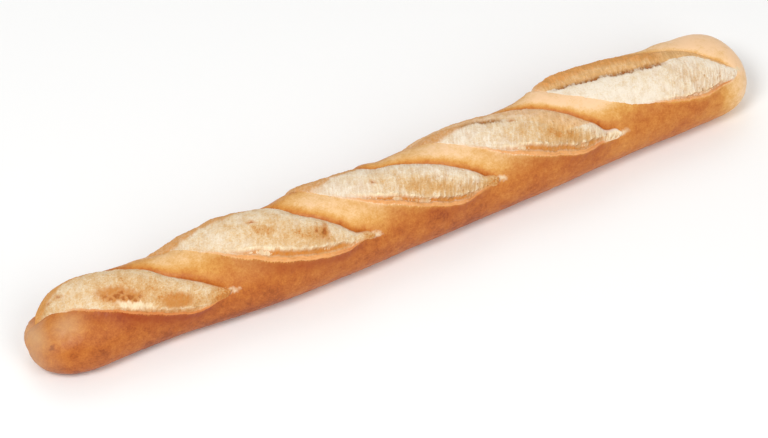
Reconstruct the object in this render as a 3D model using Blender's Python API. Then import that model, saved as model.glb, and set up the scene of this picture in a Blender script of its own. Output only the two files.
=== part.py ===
"""A baguette with five slanting slashes, modelled as one solid.

The loaf lies along X and rests on the flat underside that its baking sheet gave it. Every point of its skin
is worked out from two numbers: its station, 0 at the left end and 1 at the right, and its turn about the
loaf's axis, 0 at the front (-Y), a quarter turn at the crest and half a turn at the back.

The skin is a plain dough body, pushed out or in along its normal by the relief of the slashes. Each slash
is a leaf-shaped opening that crosses the top aslant. Along its front edge the crust lifts in a thin torn lip.
Pale crumb swells inside it, and along its back edge the crumb meets the next strap of crust in a crease.
"""

import math

import bmesh
import bpy
import numpy as np

MM = 0.001

# The dough body, in millimetres.
LENGTH = 560.0
HALF_WIDTH = 33.0
RISE = 27.0  # axis to crest
DROP = 25.5  # axis to underside, before the flat is pressed into it
PRESSED = 3.5  # how much of the underside the flat takes away
FLAT_EDGE = 1.2  # rounding where the flat meets the sides
UNDERSIDE_POWER = 2.5  # the lower half is a little squarer than an ellipse
LEFT_CAP = 42.0  # length of the rounded left end
RIGHT_CAP = 36.0
LEFT_CAP_POWER = 2.12
RIGHT_CAP_POWER = 2.8
CAP_SAG = 7.0  # how far the end points lie under the axis
LEFT_SLUMP = 6.0  # how much lower the crest is near the left end
RIGHT_SLUMP = 4.5
BOW = 4.0  # sideways bend towards the front, at mid length
SWAY = 3.0  # the left half first swings to the back and then to the front
SWAY_MIDDLE = -0.52  # where it crosses over, as a share of the half length
SWAY_HALF = 0.48
LEFT_SLIMMING = 0.085  # share by which the left quarter is thinner
MIDDLE_SWELLING = 0.03

# Distances over the skin are measured round the section from the crest, in millimetres.
GIRTH_RADIUS = 31.5

# Swellings and dips of the back shoulder: place along X, length and height.
BACK_LUMPS = (
    (-277.0, 4.5, 2.0),
    (-264.0, 9.0, -3.8),
    (-222.0, 22.0, 2.6),
    (-188.0, 8.0, 0.8),
    (-170.0, 11.0, -1.6),
    (-131.0, 7.0, 1.3),
    (-112.0, 26.0, 2.3),
    (-71.0, 15.0, 3.9),
    (-17.0, 9.0, 1.9),
    (-3.0, 9.0, -0.8),
    (55.0, 20.0, 0.7),
    (124.0, 11.0, 3.4),
    (228.0, 8.0, 1.1),
)
LUMP_GIRTH = 27.0
LUMP_WIDTH = 14.0

# One entry for each slash, left to right. The front tip is where the opening ends low on the front side, as
# a place along X and a distance round from the crest. Front and back are the widest reach of the opening
# from its centre line. The powers say how bluntly each edge closes towards a tip, and each bend pushes an
# edge outwards: its reach along the slash, its length as a share of the half length, and its size. A ridge
# says from which reach on a groove opens behind the lip, how far past the lip it ends in a ragged ridge, and
# how deep it is. A foot says, along the slash, how far short of the crease its back wall ends, and starts
# says from which reach on the crease is cut.
SLASHES = (
    dict(
        tip=(-145.0, -33.8), slant=-29.0, half_length=80.0, front=24.6, back=13.0,
        front_powers=(0.44, 1.1), back_powers=(1.9, 0.6), back_swell=0.4,
        lip_bends=((-0.4, 0.1, 0.9), (0.42, 0.42, 1.95), (0.72, 0.1, 1.4), (0.91, 0.08, -2.2)),
        crease_bends=((0.14, 0.22, 3.2), (0.46, 0.14, -1.7), (0.8, 0.16, 1.4)),
        bulge=6.4, bulge_from=-1.2, lip=3.0, lip_from=-0.5, crease=2.6, starts=-0.80,
        ridge=(0.05, 4.6, 0.35), wall=0.0, crevice=0.0, crevice_span=(-0.75, 0.3),
        foot=((0.0, 17.0),),
    ),
    dict(
        tip=(-37.0, -34.0), slant=-28.5, half_length=87.0, front=28.0, back=13.0,
        front_powers=(0.62, 1.3), back_powers=(1.45, 0.6), back_swell=0.5,
        lip_bends=((0.6, 0.24, -1.9), (0.88, 0.1, -4.6)),
        crease_bends=((-0.05, 0.28, 6.0), (0.17, 0.13, 5.0), (0.82, 0.08, -1.4), (0.94, 0.05, 1.2)),
        bulge=6.2, bulge_from=-1.6, lip=3.0, lip_from=-0.5, crease=2.8, starts=-0.985,
        ridge=(-0.1, 8.4, 1.0), wall=0.0, crevice=0.0, crevice_span=(-0.75, 0.3),
        foot=((0.0, 17.0),),
    ),
    dict(
        tip=(63.0, -32.2), slant=-28.5, half_length=86.0, front=28.5, back=10.0,
        front_powers=(0.48, 1.3), back_powers=(1.15, 0.6), back_swell=0.5,
        lip_bends=((0.89, 0.1, -5.5),),
        crease_bends=((-0.05, 0.13, -6.0), (0.1, 0.2, -1.0), (0.87, 0.05, -1.2), (0.95, 0.05, 1.2)),
        bulge=4.6, bulge_from=-1.6, lip=3.0, lip_from=-0.5, crease=2.8, starts=-0.985,
        ridge=(-0.15, 6.6, 1.0), wall=0.0, crevice=0.0, crevice_span=(-0.75, 0.3),
        foot=((0.0, 17.0),),
    ),
    dict(
        tip=(162.5, -36.3), slant=-28.5, half_length=86.0, front=24.6, back=10.8,
        front_powers=(0.5, 1.16), back_powers=(1.28, 0.6), back_swell=0.55,
        lip_bends=((0.05, 0.3, 1.3), (0.85, 0.13, -4.6)),
        crease_bends=((0.2, 0.38, 6.6), (0.84, 0.06, -2.0), (0.94, 0.05, 1.4)),
        bulge=4.4, bulge_from=-1.6, lip=3.0, lip_from=-0.45, crease=2.8, starts=-0.985,
        ridge=(0.0, 8.2, 1.0), wall=1.5, crevice=1.4, crevice_span=(-0.32, -0.04),
        foot=((0.45, 19.0), (0.72, 0.6)),
    ),
    dict(
        tip=(266.0, -25.5), slant=-21.8, half_length=78.6, front=27.3, back=21.0,
        front_powers=(0.53, 0.85), back_powers=(1.2, 0.9), back_swell=0.0,
        lip_bends=((-0.6, 0.25, 0.4), (-0.15, 0.15, 0.8), (0.52, 0.11, 0.9), (0.82, 0.09, -2.5)),
        crease_bends=((0.35, 0.2, 1.6), (0.6, 0.2, 2.6), (0.86, 0.12, 1.4)),
        bulge=2.6, bulge_from=-1.6, lip=2.4, lip_from=0.0, crease=1.4, starts=-0.985,
        ridge=(0.3, 4.6, 0.8), wall=8.6, crevice=2.4, crevice_span=(-0.72, 0.28),
        foot=((-0.9, 19.0), (-0.6, 20.9), (-0.43, 24.0), (-0.17, 24.9), (0.0, 23.0),
              (0.2, 18.3), (0.3, 16.9), (0.56, 6.4), (0.72, 3.2), (0.92, 2.2)),
    ),
)
FLARE_REACH = 5.0  # how far down the side the crust still leans out under a lip
STRAP_SHOULDER = 3.0  # how steeply a strap of crust falls to its crease
CREASE_REACH = 4.0  # how far the crumb dips on its way to the crease
WALL_BACK_REACH = 10.0
CREVICE_WIDTH = 2.0
NARROW_RIM = 3.0  # how wide the torn edge is where no groove has opened behind it
GROOVE_DEPTH = 1.3
RIDGE_WIDTH = 1.6
RIDGE_HEIGHT = 1.2

# The solid's faces: a fine skin first, then the fewest faces that keep its shape.
RINGS = 520
SEGMENTS = 220
FACES_KEPT = 10600
SKIN_STEP = 1e-4  # step in station and turn for the body's normal

CRUST_COLOUR = (0.57, 0.245, 0.072)  # linear values of the golden brown side
CRUST_ROUGHNESS = 0.55


def smooth(start, end, value):
    """0 before start, 1 after end, and an even S between them."""
    share = np.clip((value - start) / (end - start), 0.0, 1.0)
    return share * share * (3.0 - 2.0 * share)


def bell(value, middle, width):
    """1 at the middle, falling away to both sides."""
    return np.exp(-(((value - middle) / width) ** 2))


def along_the_loaf(station):
    """The place along X of a station, and the section's size there, 1 away from the ends."""
    middle = LENGTH - LEFT_CAP - RIGHT_CAP
    walked = station * (middle + 0.5 * math.pi * (LEFT_CAP + RIGHT_CAP))
    left = np.clip(walked / LEFT_CAP, 0.0, 0.5 * math.pi)
    from_right = middle + 0.5 * math.pi * (LEFT_CAP + RIGHT_CAP) - walked
    right = np.clip(from_right / RIGHT_CAP, 0.0, 0.5 * math.pi)
    x = (
        -0.5 * LENGTH
        + LEFT_CAP * (1.0 - np.abs(np.cos(left)) ** (2.0 / LEFT_CAP_POWER))
        + np.clip(walked - 0.5 * math.pi * LEFT_CAP, 0.0, middle)
        + RIGHT_CAP * np.abs(np.cos(right)) ** (2.0 / RIGHT_CAP_POWER)
    )
    size = np.sin(left) ** (2.0 / LEFT_CAP_POWER) * np.sin(right) ** (2.0 / RIGHT_CAP_POWER)
    return x, size


def body(station, turn):
    """Points of the dough body before it was slashed, as an array of X, Y and Z."""
    x, cap = along_the_loaf(station)
    share = 2.0 * x / LENGTH
    slim = 1.0 - LEFT_SLIMMING * (1.0 - smooth(-0.70, -0.35, share))
    slim = slim + MIDDLE_SWELLING * smooth(-0.50, -0.10, share)
    size = cap * slim
    near_end = smooth(0.72, 1.0, np.abs(share))
    side = np.cos(turn)
    lift = np.sin(turn)
    power = 2.0 / UNDERSIDE_POWER
    low_side = np.sign(side) * np.abs(side) ** power
    y = -HALF_WIDTH * size * np.where(lift >= 0.0, side, low_side)
    slump = np.where(share < 0.0, LEFT_SLUMP, RIGHT_SLUMP) * near_end
    top = (RISE - slump) * size * lift
    z = np.where(lift >= 0.0, top, -DROP * size * np.abs(lift) ** power)
    turned = np.clip((share - SWAY_MIDDLE) / SWAY_HALF, -1.0, 1.0)
    y = y - BOW * (1.0 - share * share) - SWAY * np.sin(math.pi * turned)
    z = z + DROP * slim - PRESSED - CAP_SAG * (1.0 - cap)
    return np.stack([x + 0.0 * y, y, z], axis=-1)


def body_normal(station, turn):
    """Outward normals of the dough body. At the two end points they lie along X."""
    before = np.clip(station - SKIN_STEP, 0.0, 1.0)
    after = np.clip(station + SKIN_STEP, 0.0, 1.0)
    along = body(after, turn) - body(before, turn)
    around = body(station, turn + SKIN_STEP) - body(station, turn - SKIN_STEP)
    normal = np.cross(along, around)
    size = np.linalg.norm(normal, axis=-1, keepdims=True)
    normal = normal / np.maximum(size, 1e-12)
    end_normal = np.stack([np.sign(station - 0.5), 0.0 * station, 0.0 * station], axis=-1)
    at_end = (np.minimum(station, 1.0 - station) < SKIN_STEP)[..., None]
    return np.where(at_end, end_normal, normal)


def opening(x, girth, slash):
    """Where a point lies in a slash: its reach (-1 back tip, 1 front tip), how far it is past the lip, and
    how far it is short of the crease. Both distances are positive inside the opening."""
    slant = math.radians(slash["slant"])
    half = slash["half_length"]
    tip_x, tip_girth = slash["tip"]
    dx = x - (tip_x - half * math.cos(slant))
    dg = girth - (tip_girth - half * math.sin(slant))
    reach = (dx * math.cos(slant) + dg * math.sin(slant)) / half
    across = dg * math.cos(slant) - dx * math.sin(slant)
    closing = np.clip(1.0 - reach * reach, 0.0, 1.0)
    front_half = reach > 0.0
    front_power = np.where(front_half, *slash["front_powers"])
    back_power = np.where(front_half, *slash["back_powers"])
    swell = 1.0 + slash["back_swell"] * (1.0 - smooth(-0.5, 0.3, reach))
    lip_line = -slash["front"] * closing**front_power
    crease_line = slash["back"] * closing**back_power * swell
    held = np.clip(closing / 0.12, 0.0, 1.0)
    for place, length, outwards in slash["lip_bends"]:
        lip_line = lip_line - outwards * held * bell(reach, place, length)
    for place, length, outwards in slash["crease_bends"]:
        crease_line = crease_line + outwards * held * bell(reach, place, length)
    return reach, across - lip_line, crease_line - across


def slash_relief(x, girth, slash):
    """Height that one slash adds to the body, and whether the point lies inside its opening."""
    reach, past_lip, before_crease = opening(x, girth, slash)
    within = np.abs(reach) < 1.0
    inside = within & (past_lip > 0.0) & (before_crease > 0.0)
    width = np.maximum(past_lip + before_crease, 1e-6)
    closing = np.clip(1.0 - reach * reach, 0.0, 1.0)
    lip_share = smooth(slash["lip_from"], slash["lip_from"] + 0.8, reach) * (1.0 - smooth(0.8, 1.0, reach))
    wall_share = smooth(-1.0, -0.70, reach) * (1.0 - smooth(-0.72, 0.42, reach))
    crease_share = 1.0 - smooth(0.85, 1.0, np.abs(reach))
    crease_share = crease_share * (1.0 - wall_share * min(1.0, slash["wall"] / 4.0))
    crease_share = crease_share * smooth(slash["starts"] - 0.10, slash["starts"] + 0.05, reach)

    lip = slash["lip"] * lip_share
    crease = slash["crease"] * crease_share
    wall = slash["wall"] * wall_share

    swelling = slash["bulge"] * np.sqrt(closing) * np.sin(math.pi * np.clip(past_lip / width, 0.0, 1.0)) ** 0.8
    swelling = swelling * smooth(slash["bulge_from"], slash["bulge_from"] + 0.6, reach)
    opens, ridge_at, depth = slash["ridge"]
    opened = smooth(opens - 0.20, opens + 0.25, reach) * (1.0 - smooth(0.68, 0.93, reach))
    ridge_at = NARROW_RIM + (ridge_at - NARROW_RIM) * opened
    groove = GROOVE_DEPTH * opened * depth * bell(past_lip, 0.64 * ridge_at, 0.22 * ridge_at)
    ridge = RIDGE_HEIGHT * opened * depth * bell(past_lip, ridge_at, RIDGE_WIDTH)
    crumb = swelling + ridge - groove
    crumb = crumb + lip * np.exp(-((np.clip(past_lip, 0.0, None) / (0.32 * ridge_at + 0.8)) ** 1.6))
    crumb = crumb - crease * np.exp(-np.clip(before_crease, 0.0, None) / CREASE_REACH)
    foot = np.maximum(np.interp(reach, *zip(*slash["foot"])), 0.6)
    crumb = crumb + wall * (1.0 - smooth(0.0, foot, before_crease))
    span_from, span_to = slash["crevice_span"]
    split = smooth(span_from - 0.1, span_from + 0.1, reach) * (1.0 - smooth(span_to - 0.1, span_to + 0.1, reach))
    crumb = crumb - 0.7 * slash["crevice"] * split * bell(before_crease, foot, CREVICE_WIDTH)

    flare = lip * np.exp(np.clip(past_lip, None, 0.0) / FLARE_REACH) * (past_lip <= 0.0)
    strap = -crease * np.exp(np.clip(before_crease, None, 0.0) / STRAP_SHOULDER)
    strap = strap + wall * np.exp(-((np.clip(before_crease, None, 0.0) / WALL_BACK_REACH) ** 2))
    crust = (flare + strap * (before_crease <= 0.0)) * within
    return np.where(inside, crumb, crust), inside


def unevenness(x, turn):
    """Gentle lumps of hand-shaped dough, and the larger ones of the back shoulder."""
    slow = 0.55 * np.sin(x / 41.0 + 0.8) * np.cos(turn + 0.9)
    middle = 0.35 * np.sin(x / 19.0 + 2.1) * np.cos(2.0 * turn + 0.4)
    quick = 0.20 * np.sin(x / 9.5 + 0.5) * np.sin(3.0 * turn + 1.7)
    behind = bell(GIRTH_RADIUS * (turn - 0.5 * math.pi), LUMP_GIRTH, LUMP_WIDTH)
    along = sum(height * bell(x, place, length) for place, length, height in BACK_LUMPS)
    return slow + middle + quick + along * behind


def skin(station, turn):
    """Points of the finished loaf, with its flat underside."""
    points = body(station, turn)
    x = points[..., 0]
    wrapped = np.where(turn > 1.5 * math.pi, turn - 2.0 * math.pi, turn)
    girth = GIRTH_RADIUS * (wrapped - 0.5 * math.pi)
    height = unevenness(x, wrapped)
    covered = np.zeros(x.shape, bool)
    for slash in SLASHES:
        added, inside = slash_relief(x, girth, slash)
        height = np.where(covered, height, height + added)
        covered |= inside
    cap = along_the_loaf(station)[1]
    points = points + body_normal(station, turn) * (height * smooth(0.0, 0.35, cap))[..., None]
    z = points[..., 2]
    eased = (z + FLAT_EDGE) ** 2 / (4.0 * FLAT_EDGE)
    points[..., 2] = np.where(z < -FLAT_EDGE, 0.0, np.where(z < FLAT_EDGE, eased, z))
    return points


def clear_scene():
    for old in list(bpy.data.objects):
        bpy.data.objects.remove(old, do_unlink=True)


def crust_material():
    material = bpy.data.materials.new("golden crust")
    material.use_nodes = True
    shader = material.node_tree.nodes["Principled BSDF"]
    shader.inputs["Base Color"].default_value = (*CRUST_COLOUR, 1.0)
    shader.inputs["Roughness"].default_value = CRUST_ROUGHNESS
    shader.inputs["Metallic"].default_value = 0.0
    return material


def fine_skin():
    """A sphere whose poles become the loaf's ends, with every vertex carried onto the loaf's skin."""
    sphere = bmesh.new()
    bmesh.ops.create_uvsphere(sphere, u_segments=SEGMENTS, v_segments=RINGS, radius=1.0)
    unit = np.array([vertex.co for vertex in sphere.verts])
    station = np.arccos(np.clip(-unit[:, 2], -1.0, 1.0)) / math.pi
    turn = np.arctan2(-unit[:, 1], unit[:, 0]) % (2.0 * math.pi)
    points = skin(station, turn)
    middle = 0.5 * (points.min(axis=0) + points.max(axis=0))
    points[:, :2] -= middle[:2]
    for vertex, point in zip(sphere.verts, points * MM):
        vertex.co = point
    mesh = bpy.data.meshes.new("baguette")
    sphere.to_mesh(mesh)
    sphere.free()
    return mesh


def thin_out(loaf):
    """Keeps about FACES_KEPT triangles, the most of them along lips and creases."""
    triangles = sum(len(face.vertices) - 2 for face in loaf.data.polygons)
    decimate = loaf.modifiers.new("fewer faces", "DECIMATE")
    decimate.decimate_type = "COLLAPSE"
    decimate.ratio = FACES_KEPT / triangles
    decimate.use_collapse_triangulate = True
    graph = bpy.context.evaluated_depsgraph_get()
    mesh = bpy.data.meshes.new_from_object(loaf.evaluated_get(graph))
    loaf.modifiers.remove(decimate)
    loaf.data = mesh
    mesh.name = "baguette"


def level_the_flat(mesh, within=0.05 * MM):
    """Sets every vertex of the underside exactly on the plane that the loaf rests on."""
    for vertex in mesh.vertices:
        if abs(vertex.co.z) < within:
            vertex.co.z = 0.0


def make_loaf():
    collection = bpy.data.collections.new("baguette")
    bpy.context.scene.collection.children.link(collection)
    loaf = bpy.data.objects.new("baguette", fine_skin())
    collection.objects.link(loaf)
    thin_out(loaf)
    level_the_flat(loaf.data)
    loaf.data.materials.append(crust_material())
    loaf.data.shade_smooth()
    return loaf


clear_scene()
make_loaf()
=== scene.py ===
# %% [markdown]
# # A baguette with five torn slashes
#
# A baguette is a single long roll of dough. Just before it is baked, the baker slashes its top aslant. In
# the oven the loaf springs up, the slashes tear open, and each shows pale crumb between two edges of crust:
# at the front a thin lip that has lifted and browned, at the back a soft crease where the crumb tucks
# under the next strap of crust.
#
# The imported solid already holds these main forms. Here the same rules are worked out again on finer meshes,
# one for the crust and one for the crumb in each slash, and their colours are worked out with them.

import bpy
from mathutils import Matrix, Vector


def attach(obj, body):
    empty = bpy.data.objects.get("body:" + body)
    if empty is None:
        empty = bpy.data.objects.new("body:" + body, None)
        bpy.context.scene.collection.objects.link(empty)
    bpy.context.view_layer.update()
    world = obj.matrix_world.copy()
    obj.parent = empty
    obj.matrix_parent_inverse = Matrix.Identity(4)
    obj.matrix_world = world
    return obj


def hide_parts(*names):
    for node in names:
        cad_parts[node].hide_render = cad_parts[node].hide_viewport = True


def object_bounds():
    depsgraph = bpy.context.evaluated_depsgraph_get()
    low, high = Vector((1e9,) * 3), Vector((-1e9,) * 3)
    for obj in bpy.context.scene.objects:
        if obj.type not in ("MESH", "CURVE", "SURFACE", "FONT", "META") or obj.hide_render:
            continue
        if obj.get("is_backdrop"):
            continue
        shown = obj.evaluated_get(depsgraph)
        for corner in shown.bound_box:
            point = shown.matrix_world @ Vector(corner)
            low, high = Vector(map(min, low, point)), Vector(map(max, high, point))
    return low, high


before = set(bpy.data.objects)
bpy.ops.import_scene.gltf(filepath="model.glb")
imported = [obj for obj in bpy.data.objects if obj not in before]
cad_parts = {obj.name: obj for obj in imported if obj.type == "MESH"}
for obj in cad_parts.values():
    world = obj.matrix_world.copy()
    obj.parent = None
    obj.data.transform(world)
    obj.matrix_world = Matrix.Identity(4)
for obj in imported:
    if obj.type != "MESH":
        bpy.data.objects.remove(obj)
cad_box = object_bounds()
print("packed nodes:", sorted(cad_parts))

# %% [markdown]
# ## Units and small helpers
#
# A loaf is measured in millimetres, and Blender works in metres, so every size below is in millimetres
# and is turned to metres once, where a mesh or a light is made. Soft steps between two values shape nearly
# everything, and a few sine waves of unlike lengths make a line wander as a torn edge does.

# %% Helpers for numbers
import math
from types import SimpleNamespace

import bpy
import numpy as np
from mathutils import Matrix, Vector

MM = 0.001


def smooth(start, end, value):
    """0 before start, 1 after end, and an even S between them."""
    share = np.clip((value - start) / (end - start), 0.0, 1.0)
    return share * share * (3.0 - 2.0 * share)


def fade(start, end, value):
    """1 before start, 0 after end, and an even S between them."""
    return 1.0 - smooth(start, end, value)


def bell(value, middle, width):
    """1 at the middle, falling away to both sides."""
    return np.exp(-(((value - middle) / width) ** 2))


def fall_off(distance, reach, power=1.0):
    """1 up to a line, and falling away with the distance past it."""
    return np.exp(-((np.clip(distance, 0.0, None) / reach) ** power))


def wander(place, longest, phase):
    """An uneven line, mostly between -1 and 1: five waves, each about half as long as the last."""
    waves = 0.0
    for k in range(5):
        length = longest * 0.53**k
        waves = waves + 0.72**k * np.sin(2.0 * math.pi * place / length + phase * (1.7 + k))
    return waves / 1.9


# %% [markdown]
# ## The dough body
#
# Rolled dough could be a cylinder with sculpted ends, but a rule is easier to steer: every point of the
# skin comes from its station along the loaf (0 at the left end, 1 at the right) and its turn about the
# axis (0 at the front, a quarter turn at the crest). Rounded caps, a squarer underside, a slight bow and a
# slow sway make it a hand-shaped roll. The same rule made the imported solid, so the pieces fit it.

# %% Sizes of the body
LENGTH = 560.0
HALF_WIDTH = 33.0
RISE = 27.0  # axis to crest
DROP = 25.5  # axis to underside, before the flat is pressed into it
PRESSED = 3.5
FLAT_EDGE = 1.2
UNDERSIDE_POWER = 2.5
LEFT_CAP = 42.0
RIGHT_CAP = 36.0
LEFT_CAP_POWER = 2.12
RIGHT_CAP_POWER = 2.8
CAP_SAG = 7.0
LEFT_SLUMP = 6.0
RIGHT_SLUMP = 4.5
BOW = 4.0
SWAY = 3.0
SWAY_MIDDLE = -0.52
SWAY_HALF = 0.48
LEFT_SLIMMING = 0.085
MIDDLE_SWELLING = 0.03
GIRTH_RADIUS = 31.5  # distances round the section, its girth, are measured on this radius, from the crest
CREST = 0.5 * math.pi  # the turn at the crest
WALKED = LENGTH - LEFT_CAP - RIGHT_CAP + 0.5 * math.pi * (LEFT_CAP + RIGHT_CAP)


# %% The body as a function
def along_the_loaf(station):
    """The place along X of a station, and the section's size there, 1 away from the ends."""
    middle = LENGTH - LEFT_CAP - RIGHT_CAP
    walked = station * WALKED
    left = np.clip(walked / LEFT_CAP, 0.0, 0.5 * math.pi)
    right = np.clip((WALKED - walked) / RIGHT_CAP, 0.0, 0.5 * math.pi)
    x = (
        -0.5 * LENGTH
        + LEFT_CAP * (1.0 - np.abs(np.cos(left)) ** (2.0 / LEFT_CAP_POWER))
        + np.clip(walked - 0.5 * math.pi * LEFT_CAP, 0.0, middle)
        + RIGHT_CAP * np.abs(np.cos(right)) ** (2.0 / RIGHT_CAP_POWER)
    )
    size = np.sin(left) ** (2.0 / LEFT_CAP_POWER) * np.sin(right) ** (2.0 / RIGHT_CAP_POWER)
    return x, size


def body(station, turn):
    """Points of the dough body before it was slashed, as an array of X, Y and Z."""
    x, cap = along_the_loaf(station)
    share = 2.0 * x / LENGTH
    slim = 1.0 - LEFT_SLIMMING * fade(-0.70, -0.35, share)
    slim = slim + MIDDLE_SWELLING * smooth(-0.50, -0.10, share)
    size = cap * slim
    near_end = smooth(0.72, 1.0, np.abs(share))
    side = np.cos(turn)
    lift = np.sin(turn)
    power = 2.0 / UNDERSIDE_POWER
    low_side = np.sign(side) * np.abs(side) ** power
    y = -HALF_WIDTH * size * np.where(lift >= 0.0, side, low_side)
    slump = np.where(share < 0.0, LEFT_SLUMP, RIGHT_SLUMP) * near_end
    top = (RISE - slump) * size * lift
    z = np.where(lift >= 0.0, top, -DROP * size * np.abs(lift) ** power)
    turned = np.clip((share - SWAY_MIDDLE) / SWAY_HALF, -1.0, 1.0)
    y = y - BOW * (1.0 - share * share) - SWAY * np.sin(math.pi * turned)
    z = z + DROP * slim - PRESSED - CAP_SAG * (1.0 - cap)
    return np.stack([x + 0.0 * y, y, z], axis=-1)


def turn_at(girth):
    """The turn about the axis, from 0 to a full one, of a distance round the section."""
    return (girth / GIRTH_RADIUS + CREST) % (2.0 * math.pi)


def body_normal(station, turn, step=1e-4):
    """Outward normals of the dough body. At the two end points they lie along X."""
    along = body(np.clip(station + step, 0.0, 1.0), turn) - body(np.clip(station - step, 0.0, 1.0), turn)
    around = body(station, turn + step) - body(station, turn - step)
    normal = np.cross(along, around)
    normal = normal / np.maximum(np.linalg.norm(normal, axis=-1, keepdims=True), 1e-12)
    end_normal = np.stack([np.sign(station - 0.5), 0.0 * station, 0.0 * station], axis=-1)
    at_end = (np.minimum(station, 1.0 - station) < step)[..., None]
    return np.where(at_end, end_normal, normal)


quarters = body(np.full(4, 0.5), 0.5 * math.pi * np.arange(4))
print("unslashed middle:", np.round(np.ptp(quarters, axis=0)[1:], 1), "mm wide and high")

# %% Hand-shaped unevenness
BACK_LUMPS = (  # swellings and dips of the back shoulder: place along X, length and height
    (-277.0, 4.5, 2.0), (-264.0, 9.0, -3.8), (-222.0, 22.0, 2.6), (-188.0, 8.0, 0.8), (-170.0, 11.0, -1.6),
    (-131.0, 7.0, 1.3), (-112.0, 26.0, 2.3), (-71.0, 15.0, 3.9), (-17.0, 9.0, 1.9), (-3.0, 9.0, -0.8),
    (55.0, 20.0, 0.7), (124.0, 11.0, 3.4), (228.0, 8.0, 1.1),
)
LUMP_GIRTH = 27.0
LUMP_WIDTH = 14.0
FULL_FROM = 0.35  # the section's size from which heights stand in full, so that they fade out at both ends


def unevenness(x, turn):
    """Gentle lumps of hand-shaped dough, and the bigger swellings of its back shoulder."""
    slow = 0.55 * np.sin(x / 41.0 + 0.8) * np.cos(turn + 0.9)
    middle = 0.35 * np.sin(x / 19.0 + 2.1) * np.cos(2.0 * turn + 0.4)
    quick = 0.20 * np.sin(x / 9.5 + 0.5) * np.sin(3.0 * turn + 1.7)
    shoulder = bell(GIRTH_RADIUS * (turn - CREST), LUMP_GIRTH, LUMP_WIDTH)
    swelling = sum(height * bell(x, place, length) for place, length, height in BACK_LUMPS)
    return slow + middle + quick + swelling * shoulder


def lift_off(station, turn, height):
    """Points at a height above the body, with the flat underside pressed in."""
    cap = along_the_loaf(station)[1]
    wrapped = np.where(turn > 1.5 * math.pi, turn - 2.0 * math.pi, turn)
    height = height + unevenness(body(station, turn)[..., 0], wrapped)
    height = height * smooth(0.0, FULL_FROM, cap)
    points = body(station, turn) + body_normal(station, turn) * height[..., None]
    z = points[..., 2]
    eased = (z + FLAT_EDGE) ** 2 / (4.0 * FLAT_EDGE)
    points[..., 2] = np.where(z < -FLAT_EDGE, 0.0, np.where(z < FLAT_EDGE, eased, z))
    return points


# %% [markdown]
# ## The slashes
#
# Each slash is one cut of a blade, opened by the oven. On the unrolled skin it is a leaf between two
# lines: the lip in front and the crease behind, which meet at a tip low on the front side and at another
# over the back. Drawing five outlines by hand would need many points. Instead one rule with a few sizes
# gives the outline, and how far a point lies past the lip and short of the crease then shapes everything:
# the flare of the crust, the swell of the crumb, the torn ridge, the wall and the crevice.
#
# A slash is placed by its front tip. Front and back are the widest reach of the opening from its centre
# line, the powers say how bluntly each edge closes, and a bend pushes an edge outwards: its reach, length and
# size. A ridge gives the reach where a groove opens behind the lip, how far past the lip it ends, and its
# depth. A foot gives, along the slash, how far short of the crease the back wall ends. Gold is the skin over
# the back: how far round it starts, how far round it starts near the back tip, and up to which reach.

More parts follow.
